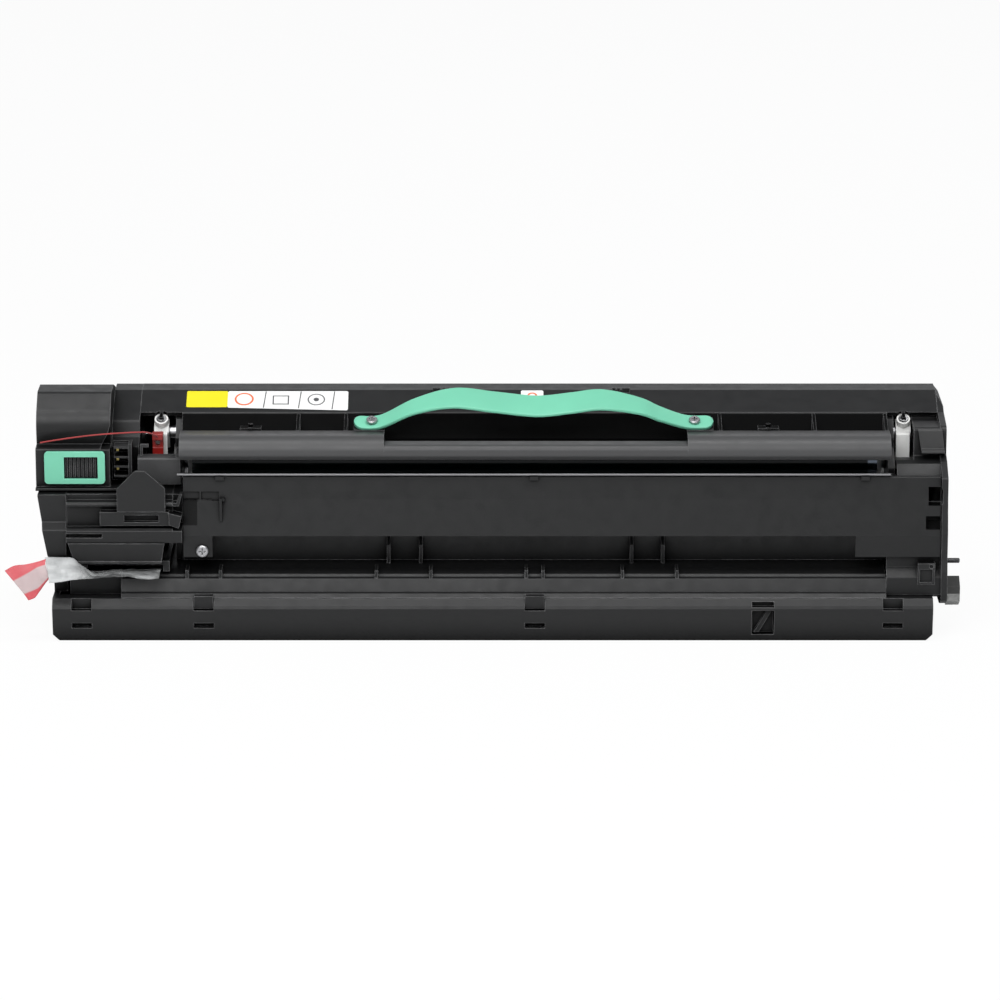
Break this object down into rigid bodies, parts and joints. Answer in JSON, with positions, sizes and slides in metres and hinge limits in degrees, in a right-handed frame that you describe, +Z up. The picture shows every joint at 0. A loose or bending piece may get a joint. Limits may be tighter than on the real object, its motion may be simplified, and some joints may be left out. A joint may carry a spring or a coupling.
{
  "type": "printer drum unit",
  "caption": "Long black drum unit of an office printer with a photoconductor drum, developer tray, carrying strap, lock slider, pull tape and a hex drive coupling.",
  "frame": {"origin": "on the underside of the developer tray, halfway along the housing", "axes": "+X along the unit towards the drive coupling, +Y to the drum side, +Z up"},
  "size_m": [0.4515, 0.0899, 0.1151],
  "materials": {
    "black_plastic": "fine textured satin black moulding",
    "grip_grey": "worn grey-black grip ribs",
    "mint_plastic": "smooth mint green moulding",
    "white_nylon": "plain white nylon",
    "grey_plastic": "plain grey moulding",
    "steel": "bright turned or rolled steel",
    "drum_coat": "smooth blue-green photoconductor coat on aluminium",
    "roller_rubber": "conductive rubber",
    "blade_rubber": "translucent amber polyurethane",
    "sleeve_metal": "blasted aluminium sleeve",
    "magnet": "plastic-bonded magnet",
    "felt": "dark felt",
    "red_plastic": "dark red moulding",
    "red_thread": "thin red twisted thread",
    "film": "thin cloudy plastic film",
    "tape": "red and pale striped tape",
    "contact_gold": "gold-plated contacts"
  },
  "bodies": {
    "housing": {"blade_bracket": "steel", "blade_screws": "steel", "cleaning_blade": "blade_rubber", "cleaning_case": "black_plastic", "connector_block": "black_plastic", "connector_contacts": "contact_gold", "cover_screws": "steel", "developer_lower_case": "black_plastic", "developer_upper_case": "black_plastic", "doctor_blade": "steel", "drum_bushes": "white_nylon", "front_cover": "black_plastic", "grip_pad": "grip_grey", "handle_screws": "steel", "handle_strap": "mint_plastic", "idler_pin": "steel", "left_end_housing": "black_plastic", "left_end_plate": "black_plastic", "left_lower_cover": "black_plastic", "locating_pin": "steel", "lock_bezel": "mint_plastic", "magnet_core": "magnet", "pull_tape": "tape", "right_end_cover": "black_plastic", "right_end_plate": "black_plastic", "roller_end_seals": "felt", "seal_film": "film", "slit_rod": "steel", "toner_inlet_housing": "black_plastic", "toner_sensor": "black_plastic", "upper_housing": "black_plastic"},
    "drum": {"drum_tube": "drum_coat", "drum_flange_left": "white_nylon", "drum_flange_right": "white_nylon", "drum_shaft": "steel", "drum_gear": "white_nylon"},
    "charge_carriage": {"charge_holder_left": "white_nylon", "charge_holder_right": "white_nylon", "charge_spring_left": "steel", "charge_spring_right": "steel"},
    "charge_roller": {"charge_roller": "roller_rubber", "charge_shaft": "steel"},
    "waste_auger": {"waste_auger": "grey_plastic", "waste_gear": "white_nylon"},
    "front_auger": {"front_auger": "grey_plastic", "front_auger_gear": "white_nylon", "drive_coupling": "steel"},
    "rear_auger": {"rear_auger": "grey_plastic", "rear_auger_gear": "white_nylon"},
    "idler": {"idler_gear": "white_nylon"},
    "developer_roller": {"developer_sleeve": "sleeve_metal", "developer_gear": "white_nylon"},
    "lock_slider": {"lock_slider": "black_plastic"},
    "inlet_shutter": {"inlet_shutter": "black_plastic"},
    "transport_clip": {"transport_clip": "red_plastic", "clip_thread": "red_thread"}
  },
  "joints": [
    {"name": "drum_spin", "type": "hinge", "parent": "housing", "child": "drum", "pos_m": [0, 0.01, 0.072], "axis": [1, 0, 0], "continuous": true},
    {"name": "charge_lift", "type": "slide", "parent": "housing", "child": "charge_carriage", "axis": [0, -0.5736, 0.8192], "range_m": [0, 0.0008], "stiffness_N_per_m": 600, "springref_m": -0.003, "deforming": ["charge_spring_left", "charge_spring_right"]},
    {"name": "charge_spin", "type": "hinge", "parent": "charge_carriage", "child": "charge_roller", "pos_m": [0, -0.00222, 0.08945], "axis": [1, 0, 0], "continuous": true},
    {"name": "waste_spin", "type": "hinge", "parent": "housing", "child": "waste_auger", "pos_m": [0, 0.01382, 0.09367], "axis": [1, 0, 0], "continuous": true},
    {"name": "drive_spin", "type": "hinge", "parent": "housing", "child": "front_auger", "pos_m": [0, -0.03, 0.0186], "axis": [1, 0, 0], "continuous": true},
    {"name": "rear_auger_spin", "type": "hinge", "parent": "housing", "child": "rear_auger", "pos_m": [0, -0.0082, 0.01561], "axis": [1, 0, 0], "continuous": true},
    {"name": "idler_spin", "type": "hinge", "parent": "housing", "child": "idler", "pos_m": [0, -0.00075, 0.03363], "axis": [1, 0, 0], "continuous": true},
    {"name": "developer_spin", "type": "hinge", "parent": "housing", "child": "developer_roller", "pos_m": [0, -0.00395, 0.05186], "axis": [1, 0, 0], "continuous": true},
    {"name": "lock_slide", "type": "slide", "parent": "housing", "child": "lock_slider", "axis": [-1, 0, 0], "range_m": [0, 0.005]},
    {"name": "shutter_slide", "type": "slide", "parent": "housing", "child": "inlet_shutter", "axis": [-1, 0, 0], "range_m": [0, 0.01]},
    {"name": "clip_pull", "type": "slide", "parent": "housing", "child": "transport_clip", "axis": [0, -0.766, 0.6428], "range_m": [0, 0.03]}
  ],
  "couplings": [
    {"joint": "charge_spin", "follows": "drum_spin", "ratio": -2.5},
    {"joint": "waste_spin", "follows": "drum_spin", "ratio": -2.1429},
    {"joint": "rear_auger_spin", "follows": "drive_spin", "ratio": -1},
    {"joint": "idler_spin", "follows": "drive_spin", "ratio": 1.2941},
    {"joint": "developer_spin", "follows": "drive_spin", "ratio": -1.1}
  ]
}
